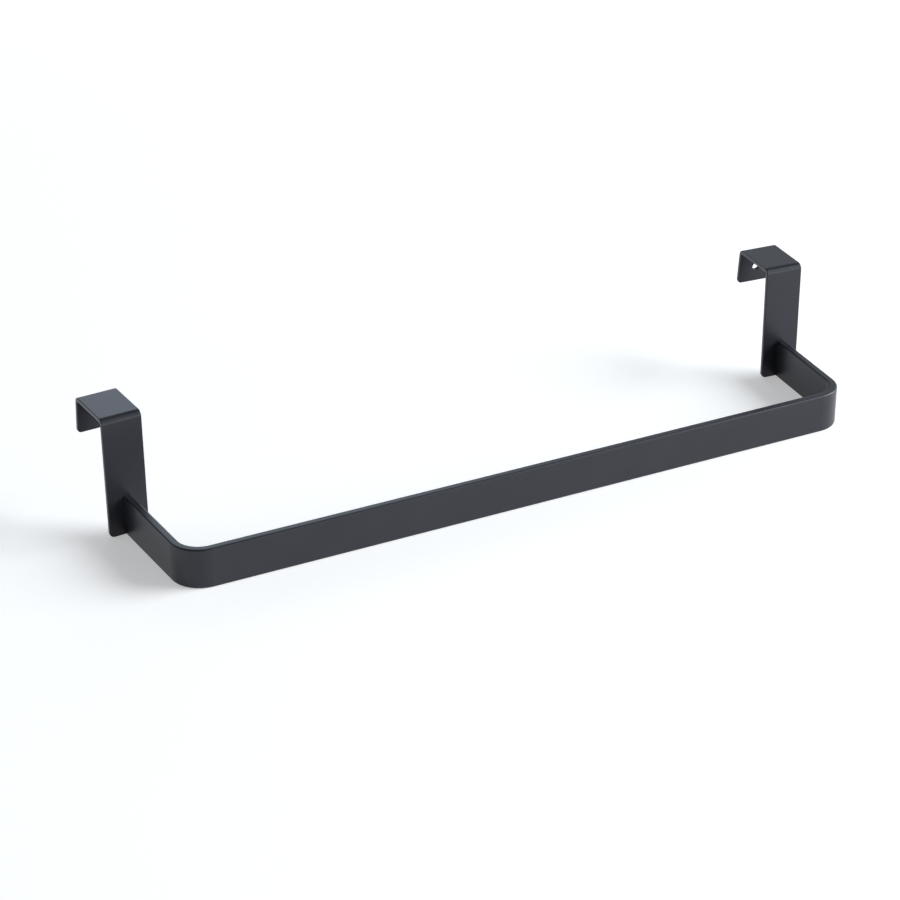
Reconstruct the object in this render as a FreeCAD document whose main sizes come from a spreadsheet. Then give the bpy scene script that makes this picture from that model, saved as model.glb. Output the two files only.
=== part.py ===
import FreeCAD, Part
import math
import os

import Sketcher

# Over-cabinet towel bar: a flat bar bent into a wide U, its two arms welded to strip hooks.
# The origin is the middle of the rail's underside, level with the ends of the hooks' front legs.
# X runs along the rail, +Y points into the cabinet, and +Z points up.

Vector = FreeCAD.Vector

doc = FreeCAD.newDocument("OverCabinetTowelBar")
sheet = doc.addObject("Spreadsheet::Sheet", "Sizes")

# Driving sizes, in millimetres and degrees: name, value, what it measures
SIZES = (
    ("rail_length", 356.0, "over the outer faces of the arms, where they leave the rail"),
    ("bar_height", 20.0, "flat bar of the rail and arms, set on edge"),
    ("bar_thickness", 4.0, "flat bar of the rail and arms"),
    ("bar_bend_radius", 11.0, "inner radius of the rail's two bends"),
    ("bar_edge_round", 0.8, "rounding along the bar's four long edges"),
    ("arm_reach", 64.0, "front face of a hook to front face of the rail"),
    ("arm_splay", 4.0, "each arm opens outwards by this angle, and its hook with it"),
    ("strip_width", 20.0, "strip of the hooks"),
    ("strip_thickness", 2.0, "strip of the hooks"),
    ("strip_bend_radius", 1.0, "inner radius of the hooks' bends"),
    ("front_corner_radius", 2.5, "corners at the end of the front leg"),
    ("rear_corner_radius", 2.0, "corners at the end of the rear leg"),
    ("strip_edge_round", 0.4, "rounding along the strip's edges"),
    ("door_gap", 26.0, "clear width for the cabinet door"),
    ("front_leg_drop", 59.5, "seat down to the end of the front leg"),
    ("rear_leg_drop", 17.5, "seat down to the end of the rear leg"),
    ("rear_leg_flare", 6.0, "the rear leg leans away from the door by this angle"),
    ("screw_hole_diameter", 4.5, "hole through the rear leg"),
    ("screw_hole_drop", 9.0, "seat down to the centre of the hole"),
)

# A sketch's own origin point and axes
ORIGIN = (-1, 1)
HORIZONTAL_AXIS, VERTICAL_AXIS = -1, -2

QUARTER_TURN = math.pi / 2

# A rounding takes at most this share of the wall or width that it runs along
ROUND_SHARE = 0.45

# Two places closer than this, in millimetres, are the same
SAME_PLACE = 0.001

# An edge within this angle of an axis runs along it
ALONG_ANGLE = math.radians(25)

# The metal that the screw hole takes out may differ from a straight plug by this share
PLUG_TOLERANCE = 0.1


def fill_sheet():
    for row, (name, value, meaning) in enumerate(SIZES, start=1):
        sheet.set("A%d" % row, name)
        sheet.set("B%d" % row, str(value))
        sheet.set("C%d" % row, meaning)
        sheet.setAlias("B%d" % row, name)
    doc.recompute()


def size(name):
    return float(sheet.get(name))


def origin_plane(body, role):
    return next(f for f in body.Origin.OriginFeatures if f.Role == role)


def new_sketch(body, name, role):
    sketch = body.newObject("Sketcher::SketchObject", name)
    sketch.AttachmentSupport = [(origin_plane(body, role), "")]
    sketch.MapMode = "FlatFace"
    return sketch


def line(sketch, first, last):
    return sketch.addGeometry(Part.LineSegment(Vector(*first), Vector(*last)), False)


def arc(sketch, middle, radius, first, last):
    """An arc drawn anticlockwise from the first angle to the last, in radians."""
    circle = Part.Circle(Vector(*middle), Vector(0, 0, 1), radius)
    return sketch.addGeometry(Part.ArcOfCircle(circle, first, last), False)


def mark(sketch, place):
    """A construction point."""
    return sketch.addGeometry(Part.Point(Vector(*place)), True)


def start(curve):
    return (curve, 1)


def end(curve):
    return (curve, 2)


def centre(curve):
    return (curve, 3)


def tie(sketch, kind, *where):
    """A constraint between curves, points of curves and lengths."""
    values = []
    for item in where:
        values.extend(item if isinstance(item, tuple) else (item,))
    return sketch.addConstraint(Sketcher.Constraint(kind, *values))


def drive(sketch, label, formula, kind, *where):
    """A dimension that follows a formula of the sheet's cells."""
    sketch.renameConstraint(tie(sketch, kind, *where), label)
    sketch.setExpression("Constraints." + label, formula)


def settle(sketch):
    doc.recompute()
    if sketch.solve() != 0 or not sketch.FullyConstrained:
        raise RuntimeError("%s is not fully constrained" % sketch.Name)


def step_from(point, direction, distance):
    return (point[0] + direction[0] * distance, point[1] + direction[1] * distance)


def pad(body, name, sketch, formula, symmetric=False):
    feature = body.newObject("PartDesign::Pad", name)
    feature.Profile = sketch
    feature.setExpression("Length", formula)
    feature.Midplane = symmetric
    doc.recompute()
    return feature


def fillet(body, name, formula, wanted):
    """Round the straight edges that a test of middle point and direction picks."""
    base = body.Tip
    picked = []
    for number, edge in enumerate(base.Shape.Edges, start=1):
        if not isinstance(edge.Curve, Part.Line):
            continue
        middle = (edge.Vertexes[0].Point + edge.Vertexes[-1].Point) / 2
        if wanted(middle, edge.Curve.Direction):
            picked.append("Edge%d" % number)
    feature = body.newObject("PartDesign::Fillet", name)
    feature.Base = (base, picked)
    feature.setExpression("Radius", formula)
    doc.recompute()
    return feature


def near(a, b):
    return abs(a - b) < SAME_PLACE


def is_along(direction, axis):
    return abs(direction.dot(axis)) > math.cos(ALONG_ANGLE)


# Hooks: the strip's side outline, bent round the door and padded across its width.
# Their sketch starts where the door's top front edge lies.
def draw_hook_outline(sketch):
    thickness = size("strip_thickness")
    bend = size("strip_bend_radius")
    outer_bend = bend + thickness
    front_drop = size("front_leg_drop")
    flare = math.radians(size("rear_leg_flare"))
    down_rear = (math.sin(flare), -math.cos(flare))
    out_rear = (math.cos(flare), math.sin(flare))
    front_centre = (bend, -bend)
    rear_centre = (size("door_gap") - bend * out_rear[0], -bend)
    rear_top = step_from(rear_centre, out_rear, bend)
    rear_length = (size("rear_leg_drop") + rear_top[1]) / math.cos(flare)
    rear_end = step_from(rear_top, down_rear, rear_length)
    rear_end_outer = step_from(rear_end, out_rear, thickness)

    front_inner = line(sketch, (0, -front_drop), (0, -bend))
    front_bend = arc(sketch, front_centre, bend, QUARTER_TURN, 2 * QUARTER_TURN)
    seat = line(sketch, (bend, 0), (rear_centre[0], 0))
    rear_bend = arc(sketch, rear_centre, bend, flare, QUARTER_TURN)
    rear_inner = line(sketch, rear_top, rear_end)
    rear_tip = line(sketch, rear_end, rear_end_outer)
    rear_outer = line(sketch, rear_end_outer, step_from(rear_centre, out_rear, outer_bend))
    rear_outer_bend = arc(sketch, rear_centre, outer_bend, flare, QUARTER_TURN)
    top = line(sketch, (rear_centre[0], thickness), (bend, thickness))
    front_outer_bend = arc(sketch, front_centre, outer_bend, QUARTER_TURN, 2 * QUARTER_TURN)
    front_outer = line(sketch, (-thickness, -bend), (-thickness, -front_drop))
    front_tip = line(sketch, (-thickness, -front_drop), (0, -front_drop))

    tie(sketch, "Tangent", end(front_inner), end(front_bend))
    tie(sketch, "Tangent", start(front_bend), start(seat))
    tie(sketch, "Tangent", end(seat), end(rear_bend))
    tie(sketch, "Tangent", start(rear_bend), start(rear_inner))
    tie(sketch, "Coincident", end(rear_inner), start(rear_tip))
    tie(sketch, "Coincident", end(rear_tip), start(rear_outer))
    tie(sketch, "Tangent", end(rear_outer), start(rear_outer_bend))
    tie(sketch, "Tangent", end(rear_outer_bend), start(top))
    tie(sketch, "Tangent", end(top), start(front_outer_bend))
    tie(sketch, "Tangent", end(front_outer_bend), start(front_outer))
    tie(sketch, "Coincident", end(front_outer), start(front_tip))
    tie(sketch, "Coincident", end(front_tip), start(front_inner))

    tie(sketch, "Coincident", centre(front_bend), centre(front_outer_bend))
    tie(sketch, "Coincident", centre(rear_bend), centre(rear_outer_bend))
    tie(sketch, "Equal", front_bend, rear_bend)
    tie(sketch, "Equal", front_outer_bend, rear_outer_bend)
    tie(sketch, "PointOnObject", start(front_inner), VERTICAL_AXIS)
    tie(sketch, "Vertical", front_inner)
    tie(sketch, "PointOnObject", start(seat), HORIZONTAL_AXIS)
    tie(sketch, "Horizontal", seat)
    tie(sketch, "Vertical", front_outer)
    tie(sketch, "Horizontal", front_tip)
    tie(sketch, "Parallel", rear_inner, rear_outer)
    tie(sketch, "Perpendicular", rear_inner, rear_tip)

    drive(sketch, "bend", "Sizes.strip_bend_radius", "Radius", front_bend, bend)
    drive(
        sketch,
        "outer_bend",
        "Sizes.strip_bend_radius + Sizes.strip_thickness",
        "Radius",
        front_outer_bend,
        outer_bend,
    )
    drive(sketch, "gap", "Sizes.door_gap", "DistanceX", ORIGIN, start(rear_bend), rear_top[0])
    drive(
        sketch,
        "front_drop",
        "Sizes.front_leg_drop",
        "DistanceY",
        start(front_inner),
        ORIGIN,
        front_drop,
    )
    drive(
        sketch,
        "rear_drop",
        "Sizes.rear_leg_drop",
        "DistanceY",
        end(rear_inner),
        ORIGIN,
        -rear_end[1],
    )
    drive(
        sketch,
        "flare",
        "Sizes.rear_leg_flare * 1 deg - 90 deg",
        "Angle",
        rear_inner,
        flare - QUARTER_TURN,
    )
    settle(sketch)


def cut_screw_hole(body):
    """The hole is square to the rear leg, so its sketch lies on that leg's inner face."""
    sketch = new_sketch(body, body.Name + "_hole_sketch", "XZ_Plane")
    sketch.setExpression(
        "AttachmentOffset",
        "create(<<placement>>;"
        " create(<<vector>>;"
        " 0; -Sizes.strip_bend_radius * (1 - sin(Sizes.rear_leg_flare * 1 deg)); -Sizes.door_gap);"
        " create(<<rotation>>; create(<<vector>>; 1; 0; 0); Sizes.rear_leg_flare * 1 deg))",
    )
    flare = math.radians(size("rear_leg_flare"))
    bend_drop = size("strip_bend_radius") * (1 - math.sin(flare))
    drop = (size("screw_hole_drop") - bend_drop) / math.cos(flare)
    radius = size("screw_hole_diameter") / 2
    circle = Part.Circle(Vector(0, -drop), Vector(0, 0, 1), radius)
    hole = sketch.addGeometry(circle, False)
    tie(sketch, "PointOnObject", centre(hole), VERTICAL_AXIS)
    drive(
        sketch,
        "drop",
        "(Sizes.screw_hole_drop - Sizes.strip_bend_radius * (1 - sin(Sizes.rear_leg_flare * 1 deg)))"
        " / cos(Sizes.rear_leg_flare * 1 deg)",
        "DistanceY",
        centre(hole),
        ORIGIN,
        drop,
    )
    drive(sketch, "bore", "Sizes.screw_hole_diameter", "Diameter", hole, 2 * radius)
    settle(sketch)
    solid_before = body.Tip.Shape.Volume
    pocket = body.newObject("PartDesign::Pocket", body.Name + "_hole")
    pocket.Profile = sketch
    pocket.Type = "ThroughAll"
    pocket.Reversed = False
    doc.recompute()
    plug = math.pi * radius**2 * size("strip_thickness")
    taken_out = solid_before - pocket.Shape.Volume
    if abs(taken_out - plug) > PLUG_TOLERANCE * plug:
        raise RuntimeError("the screw hole misses the rear leg")


def make_hook(name, side):
    """side is -1 for the left hook and +1 for the right one."""
    body = doc.addObject("PartDesign::Body", name)
    body.Label = name
    outline = new_sketch(body, name + "_outline", "YZ_Plane")
    draw_hook_outline(outline)
    pad(body, name + "_strip", outline, "Sizes.strip_width", symmetric=True)
    cut_screw_hole(body)

    half_width = size("strip_width") / 2
    across, up = Vector(0, 1, 0), Vector(0, 0, 1)
    below_bends = -size("strip_bend_radius")

    def is_corner(middle, way):
        return near(abs(middle.x), half_width) and is_along(way, across) and middle.z < below_bends

    fillet(
        body,
        name + "_front_corners",
        "min(Sizes.front_corner_radius; %g * Sizes.strip_width)" % ROUND_SHARE,
        lambda middle, way: is_corner(middle, way) and middle.y < 0,
    )
    fillet(
        body,
        name + "_rear_corners",
        "min(Sizes.rear_corner_radius; %g * Sizes.strip_width)" % ROUND_SHARE,
        lambda middle, way: is_corner(middle, way) and middle.y > 0,
    )
    fillet(
        body,
        name + "_edges",
        "min(Sizes.strip_edge_round; %g * Sizes.strip_thickness)" % ROUND_SHARE,
        lambda middle, way: near(middle.x, half_width)
        and is_along(way, up)
        and middle.y < size("strip_bend_radius"),
    )
    body.setExpression(
        "Placement",
        "create(<<placement>>;"
        " create(<<vector>>; %d * (Sizes.rail_length / 2"
        " - Sizes.bar_thickness / 2 / cos(Sizes.arm_splay * 1 deg)"
        " + Sizes.arm_reach * tan(Sizes.arm_splay * 1 deg)"
        " + Sizes.strip_thickness * sin(Sizes.arm_splay * 1 deg));"
        " Sizes.arm_reach - Sizes.bar_thickness / 2"
        " + Sizes.strip_thickness * cos(Sizes.arm_splay * 1 deg);"
        " Sizes.front_leg_drop);"
        " create(<<rotation>>; create(<<vector>>; 0; 0; 1); %d * Sizes.arm_splay * 1 deg))"
        % (side, -side),
    )
    doc.recompute()
    return body


# Towel bar: the U seen from above, padded up from the rail's underside
def draw_bar_outline(sketch):
    thickness = size("bar_thickness")
    bend = size("bar_bend_radius")
    outer_bend = bend + thickness
    splay = math.radians(size("arm_splay"))
    half_length = size("rail_length") / 2
    front = -thickness / 2
    along_arm = (math.sin(splay), math.cos(splay))
    out_of_arm = (math.cos(splay), -math.sin(splay))
    corner = (half_length, front)
    weld = (
        half_length - thickness / 2 / math.cos(splay) + size("arm_reach") * math.tan(splay),
        front + size("arm_reach"),
    )
    tangent_length = outer_bend * math.tan((QUARTER_TURN - splay) / 2)
    arm_start = step_from(corner, along_arm, tangent_length)
    bend_centre = step_from(arm_start, out_of_arm, -outer_bend)
    weld_outer = step_from(weld, out_of_arm, thickness / 2)
    weld_inner = step_from(weld, out_of_arm, -thickness / 2)
    arm_start_inner = step_from(bend_centre, out_of_arm, bend)

    def mirrored(point):
        return (-point[0], point[1])

    rail_outer = line(sketch, (-bend_centre[0], front), (bend_centre[0], front))
    right_outer_bend = arc(sketch, bend_centre, outer_bend, -QUARTER_TURN, -splay)
    right_outer = line(sketch, arm_start, weld_outer)
    right_end = line(sketch, weld_outer, weld_inner)
    right_inner = line(sketch, weld_inner, arm_start_inner)
    right_bend = arc(sketch, bend_centre, bend, -QUARTER_TURN, -splay)
    rail_inner = line(
        sketch, (bend_centre[0], front + thickness), (-bend_centre[0], front + thickness)
    )
    left_bend = arc(sketch, mirrored(bend_centre), bend, 2 * QUARTER_TURN + splay, 3 * QUARTER_TURN)
    left_inner = line(sketch, mirrored(arm_start_inner), mirrored(weld_inner))
    left_end = line(sketch, mirrored(weld_inner), mirrored(weld_outer))
    left_outer = line(sketch, mirrored(weld_outer), mirrored(arm_start))
    left_outer_bend = arc(
        sketch, mirrored(bend_centre), outer_bend, 2 * QUARTER_TURN + splay, 3 * QUARTER_TURN
    )
    corner_mark = mark(sketch, corner)
    weld_mark = mark(sketch, weld)

    tie(sketch, "Tangent", end(rail_outer), start(right_outer_bend))
    tie(sketch, "Tangent", end(right_outer_bend), start(right_outer))
    tie(sketch, "Coincident", end(right_outer), start(right_end))
    tie(sketch, "Coincident", end(right_end), start(right_inner))
    tie(sketch, "Tangent", end(right_inner), end(right_bend))
    tie(sketch, "Tangent", start(right_bend), start(rail_inner))
    tie(sketch, "Tangent", end(rail_inner), end(left_bend))
    tie(sketch, "Tangent", start(left_bend), start(left_inner))
    tie(sketch, "Coincident", end(left_inner), start(left_end))
    tie(sketch, "Coincident", end(left_end), start(left_outer))
    tie(sketch, "Tangent", end(left_outer), start(left_outer_bend))
    tie(sketch, "Tangent", end(left_outer_bend), start(rail_outer))

    tie(sketch, "Coincident", centre(right_bend), centre(right_outer_bend))
    tie(sketch, "Coincident", centre(left_bend), centre(left_outer_bend))
    tie(sketch, "Equal", right_bend, left_bend)
    tie(sketch, "Equal", right_outer_bend, left_outer_bend)
    tie(sketch, "Symmetric", start(rail_outer), end(rail_outer), VERTICAL_AXIS)
    tie(sketch, "Parallel", right_outer, right_inner)
    tie(sketch, "Parallel", left_outer, left_inner)
    tie(sketch, "Perpendicular", right_outer, right_end)
    tie(sketch, "Perpendicular", left_outer, left_end)
    tie(sketch, "Symmetric", end(right_outer), start(left_outer), VERTICAL_AXIS)
    tie(sketch, "PointOnObject", start(corner_mark), rail_outer)
    tie(sketch, "PointOnObject", start(corner_mark), right_outer)
    tie(sketch, "Symmetric", start(right_end), end(right_end), start(weld_mark))

    drive(sketch, "bend", "Sizes.bar_bend_radius", "Radius", right_bend, bend)
    drive(
        sketch,
        "outer_bend",
        "Sizes.bar_bend_radius + Sizes.bar_thickness",
        "Radius",
        right_outer_bend,
        outer_bend,
    )
    drive(
        sketch,
        "half_length",
        "Sizes.rail_length / 2",
        "DistanceX",
        ORIGIN,
        start(corner_mark),
        half_length,
    )
    drive(
        sketch,
        "front",
        "Sizes.bar_thickness / 2",
        "DistanceY",
        start(rail_outer),
        ORIGIN,
        -front,
    )
    drive(
        sketch,
        "reach",
        "Sizes.arm_reach",
        "DistanceY",
        start(rail_outer),
        start(weld_mark),
        size("arm_reach"),
    )
    drive(
        sketch,
        "splay",
        "90 deg - Sizes.arm_splay * 1 deg",
        "Angle",
        right_outer,
        QUARTER_TURN - splay,
    )
    settle(sketch)


def make_towel_bar():
    body = doc.addObject("PartDesign::Body", "towel_bar")
    body.Label = "towel_bar"
    outline = new_sketch(body, "towel_bar_outline", "XY_Plane")
    draw_bar_outline(outline)
    pad(body, "towel_bar_bent", outline, "Sizes.bar_height")

    rail_side = size("bar_thickness") / 2
    fillet(
        body,
        "towel_bar_edges",
        "min(Sizes.bar_edge_round; %g * Sizes.bar_thickness)" % ROUND_SHARE,
        lambda middle, way: is_along(way, Vector(1, 0, 0)) and near(abs(middle.y), rail_side),
    )
    return body


def check_document():
    for item in doc.Objects:
        if {"Invalid", "Error"} & set(item.State):
            raise RuntimeError("%s failed: %s" % (item.Name, item.State))


def export(body):
    if body.Shape.isNull() or not body.Shape.isValid():
        raise RuntimeError("%s has no valid shape" % body.Label)
    body.Shape.exportStep("parts/%s.step" % body.Label)
    box = body.Shape.optimalBoundingBox()
    print(
        "%s: volume %.1f mm3, x %.2f to %.2f, y %.2f to %.2f, z %.2f to %.2f"
        % (body.Label, body.Shape.Volume, box.XMin, box.XMax, box.YMin, box.YMax, box.ZMin, box.ZMax)
    )


fill_sheet()
bodies = [make_hook("left_hook", -1), make_hook("right_hook", 1), make_towel_bar()]
doc.recompute()
check_document()
os.makedirs("parts", exist_ok=True)
for body in bodies:
    export(body)
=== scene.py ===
import math

import bpy
from mathutils import Matrix, Vector

# Over-cabinet towel bar in satin black powder coat, standing on a white floor.
# Metres, in the CAD frame: X along the rail, +Y towards the cabinet door, +Z up, floor at z = 0.
# Azimuths run from -Y, the viewer's side, towards +X.

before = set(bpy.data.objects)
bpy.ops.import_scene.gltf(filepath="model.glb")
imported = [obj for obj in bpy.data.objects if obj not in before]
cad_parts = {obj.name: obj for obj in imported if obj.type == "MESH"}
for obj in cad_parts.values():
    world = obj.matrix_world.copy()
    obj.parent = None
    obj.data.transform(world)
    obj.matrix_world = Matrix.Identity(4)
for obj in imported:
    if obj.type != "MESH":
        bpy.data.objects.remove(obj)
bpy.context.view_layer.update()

# The photograph's camera, as a distance and angles about a point between the rail and the hooks
CAMERA_AZIMUTH = math.radians(-26.66)
CAMERA_ELEVATION = math.radians(27.86)
CAMERA_ROLL = math.radians(-0.453)
CAMERA_DISTANCE = 1.199918
CAMERA_TARGET = Vector((-0.031712, 0.023995, 0.025236))
CAMERA_LENS = 101.104
CAMERA_SENSOR = 36.0
CAMERA_NEAR = 0.01
CAMERA_FAR = 50.0

# The powder coat's colour, which varies a little in broad clouds
COAT_DARK = (0.018, 0.019, 0.023)
COAT_PALE = (0.022, 0.023, 0.028)
CLOUDS_PER_METRE = 45.0
CLOUD_DETAIL = 3.0
CLOUD_ENDS = (0.3, 0.7)

# The coat's gloss, and the grain of the cured powder, about half a millimetre across
COAT_ROUGHNESS = (0.32, 0.40)
COAT_IOR = 1.5
COAT_SPECULAR_TINT = (0.87, 0.87, 1.0)
GRAINS_PER_METRE = 1900.0
GRAIN_DETAIL = 2.0
GRAIN_STRENGTH = 0.25
GRAIN_HEIGHT = 0.00003

# The floor's own light, with the lamps' share, makes it white to the camera and to gloss
FLOOR_SIZE = 60.0
FLOOR_COLOUR = (0.8, 0.8, 0.8)
FLOOR_GLOW = 0.4

# The studio round the part: sine of the height above the horizon, and how bright it is there
STUDIO = ((0.0, 0.8), (0.2, 0.8), (0.35, 0.66), (0.5, 0.6), (0.66, 0.2), (0.8, 0.04), (1.0, 0.02))
STUDIO_TINT = (0.88, 0.94, 1.0)

# The viewer's side of the studio is dimmed to this share. The change runs across the part, between
# these two distances along Y on a sphere of radius 1.
STUDIO_FRONT = 0.25
STUDIO_CHANGE = (-0.4, 0.4)

# The lamps are a little cool, as daylight lamps are
LAMP_TINT = (0.93, 0.97, 1.0)

# The main light, as a broad soft lamp far off to the right
KEY_AZIMUTH = math.radians(70)
KEY_ELEVATION = math.radians(28)
KEY_SPREAD = math.radians(40)
KEY_STRENGTH = 3.2

# Soft panels: name, place, what they are turned to, size, power and colour
PANELS = (
    # Behind the part, for the top faces to show
    ("back_panel", (0.33, 1.3, 0.65), (0, 0, 0.03), (0.62, 0.4), 1.6, (0.74, 0.85, 1.0)),
    # At the front and at the right, fading along the rail towards the left
    ("front_panel", (0.5, -0.9, 0.2), (0.1, 0, 0.01), (0.7, 0.35), 2.4, LAMP_TINT),
    ("side_panel", (0.95, -0.35, 0.45), (0.2, -0.05, 0), (0.7, 0.7), 5.0, LAMP_TINT),
)


def direction(azimuth, elevation):
    """The unit vector that points from the part towards an azimuth and an elevation."""
    level = math.cos(elevation)
    return Vector((math.sin(azimuth) * level, -math.cos(azimuth) * level, math.sin(elevation)))


def empty_tree(owner):
    """The node tree of a material or world, with nothing in it."""
    owner.use_nodes = True
    owner.node_tree.nodes.clear()
    return owner.node_tree


def make_camera():
    back = direction(CAMERA_AZIMUTH, CAMERA_ELEVATION)
    level_right = (-back).cross(Vector((0, 0, 1))).normalized()
    level_up = level_right.cross(-back)
    right = level_right * math.cos(CAMERA_ROLL) + level_up * math.sin(CAMERA_ROLL)
    up = level_up * math.cos(CAMERA_ROLL) - level_right * math.sin(CAMERA_ROLL)

    data = bpy.data.cameras.new("camera")
    data.lens = CAMERA_LENS
    data.sensor_width = CAMERA_SENSOR
    data.clip_start = CAMERA_NEAR
    data.clip_end = CAMERA_FAR
    camera = bpy.data.objects.new("camera", data)
    turn = Matrix((right, up, back)).transposed().to_4x4()
    camera.matrix_world = Matrix.Translation(CAMERA_TARGET + back * CAMERA_DISTANCE) @ turn
    bpy.context.scene.collection.objects.link(camera)
    bpy.context.scene.camera = camera


def add_noise(tree, per_metre, detail):
    """A noise fixed to the part, from 0 to 1."""
    noise = tree.nodes.new("ShaderNodeTexNoise")
    noise.inputs["Scale"].default_value = per_metre
    noise.inputs["Detail"].default_value = detail
    place = tree.nodes.new("ShaderNodeTexCoord").outputs["Object"]
    tree.links.new(place, noise.inputs["Vector"])
    return noise.outputs["Fac"]


def make_powder_coat():
    material = bpy.data.materials.new("satin_black_powder_coat")
    tree = empty_tree(material)
    nodes, links = tree.nodes, tree.links
    output = nodes.new("ShaderNodeOutputMaterial")
    shader = nodes.new("ShaderNodeBsdfPrincipled")
    shader.inputs["IOR"].default_value = COAT_IOR
    shader.inputs["Specular Tint"].default_value = (*COAT_SPECULAR_TINT, 1)
    links.new(shader.outputs["BSDF"], output.inputs["Surface"])

    clouds = add_noise(tree, CLOUDS_PER_METRE, CLOUD_DETAIL)
    tone = nodes.new("ShaderNodeValToRGB")
    for element, end, colour in zip(tone.color_ramp.elements, CLOUD_ENDS, (COAT_DARK, COAT_PALE)):
        element.position = end
        element.color = (*colour, 1)
    links.new(clouds, tone.inputs["Fac"])
    links.new(tone.outputs["Color"], shader.inputs["Base Color"])

    grain = add_noise(tree, GRAINS_PER_METRE, GRAIN_DETAIL)
    sheen = nodes.new("ShaderNodeMapRange")
    sheen.inputs["To Min"].default_value = COAT_ROUGHNESS[0]
    sheen.inputs["To Max"].default_value = COAT_ROUGHNESS[1]
    links.new(grain, sheen.inputs["Value"])
    links.new(sheen.outputs["Result"], shader.inputs["Roughness"])
    bump = nodes.new("ShaderNodeBump")
    bump.inputs["Strength"].default_value = GRAIN_STRENGTH
    bump.inputs["Distance"].default_value = GRAIN_HEIGHT
    links.new(grain, bump.inputs["Height"])
    links.new(bump.outputs["Normal"], shader.inputs["Normal"])
    return material


def background_rays(tree):
    """1 for rays that show the background: from the camera, or by way of gloss or glass."""
    rays = tree.nodes.new("ShaderNodeLightPath")
    total = rays.outputs["Is Camera Ray"]
    for name in ("Is Glossy Ray", "Is Transmission Ray"):
        either = tree.nodes.new("ShaderNodeMath")
        either.operation = "MAXIMUM"
        tree.links.new(total, either.inputs[0])
        tree.links.new(rays.outputs[name], either.inputs[1])
        total = either.outputs["Value"]
    return total


def make_floor():
    half = FLOOR_SIZE / 2
    mesh = bpy.data.meshes.new("floor")
    corners = [(-half, -half, 0), (half, -half, 0), (half, half, 0), (-half, half, 0)]
    mesh.from_pydata(corners, [], [(0, 1, 2, 3)])
    floor = bpy.data.objects.new("floor", mesh)
    bpy.context.scene.collection.objects.link(floor)

    material = bpy.data.materials.new("pale_floor")
    tree = empty_tree(material)
    nodes, links = tree.nodes, tree.links
    output = nodes.new("ShaderNodeOutputMaterial")
    diffuse = nodes.new("ShaderNodeBsdfDiffuse")
    diffuse.inputs["Color"].default_value = (*FLOOR_COLOUR, 1)
    glow = nodes.new("ShaderNodeEmission")
    glow.inputs["Strength"].default_value = FLOOR_GLOW
    both = nodes.new("ShaderNodeAddShader")
    links.new(diffuse.outputs["BSDF"], both.inputs[0])
    links.new(glow.outputs["Emission"], both.inputs[1])
    seen = nodes.new("ShaderNodeMixShader")
    links.new(background_rays(tree), seen.inputs["Fac"])
    links.new(diffuse.outputs["BSDF"], seen.inputs[1])
    links.new(both.outputs["Shader"], seen.inputs[2])
    links.new(seen.outputs["Shader"], output.inputs["Surface"])
    mesh.materials.append(material)


def make_world():
    world = bpy.data.worlds.new("studio")
    bpy.context.scene.world = world
    tree = empty_tree(world)
    nodes, links = tree.nodes, tree.links
    output = nodes.new("ShaderNodeOutputWorld")
    background = nodes.new("ShaderNodeBackground")
    links.new(background.outputs["Background"], output.inputs["Surface"])
    way = nodes.new("ShaderNodeSeparateXYZ")
    links.new(nodes.new("ShaderNodeTexCoord").outputs["Generated"], way.inputs["Vector"])

    bands = nodes.new("ShaderNodeValToRGB")
    ramp = bands.color_ramp
    ramp.interpolation = "EASE"
    while len(ramp.elements) < len(STUDIO):
        ramp.elements.new(1.0)
    for element, (height, level) in zip(ramp.elements, STUDIO):
        element.position = height
        element.color = (*(level * share for share in STUDIO_TINT), 1)
    links.new(way.outputs["Z"], bands.inputs["Fac"])
    links.new(bands.outputs["Color"], background.inputs["Color"])

    towards_back = nodes.new("ShaderNodeMapRange")
    towards_back.interpolation_type = "SMOOTHSTEP"
    towards_back.inputs["From Min"].default_value = STUDIO_CHANGE[0]
    towards_back.inputs["From Max"].default_value = STUDIO_CHANGE[1]
    towards_back.inputs["To Min"].default_value = STUDIO_FRONT
    links.new(way.outputs["Y"], towards_back.inputs["Value"])
    links.new(towards_back.outputs["Result"], background.inputs["Strength"])


def add_lamp(data, place, target):
    lamp = bpy.data.objects.new(data.name, data)
    lamp.location = place
    lamp.rotation_euler = (target - place).to_track_quat("-Z", "Y").to_euler()
    bpy.context.scene.collection.objects.link(lamp)


def add_key():
    key = bpy.data.lights.new("key", "SUN")
    key.energy = KEY_STRENGTH
    key.color = LAMP_TINT
    key.angle = KEY_SPREAD
    add_lamp(key, direction(KEY_AZIMUTH, KEY_ELEVATION), Vector((0, 0, 0)))


def add_panel(name, place, target, size, power, colour):
    panel = bpy.data.lights.new(name, "AREA")
    panel.shape = "RECTANGLE"
    panel.size, panel.size_y = size
    panel.energy = power
    panel.color = colour
    add_lamp(panel, Vector(place), Vector(target))


bpy.context.scene.view_settings.view_transform = "Standard"
make_camera()
make_world()
add_key()
for panel in PANELS:
    add_panel(*panel)
make_floor()
coat = make_powder_coat()
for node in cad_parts.values():
    node.data.materials.clear()
    node.data.materials.append(coat)
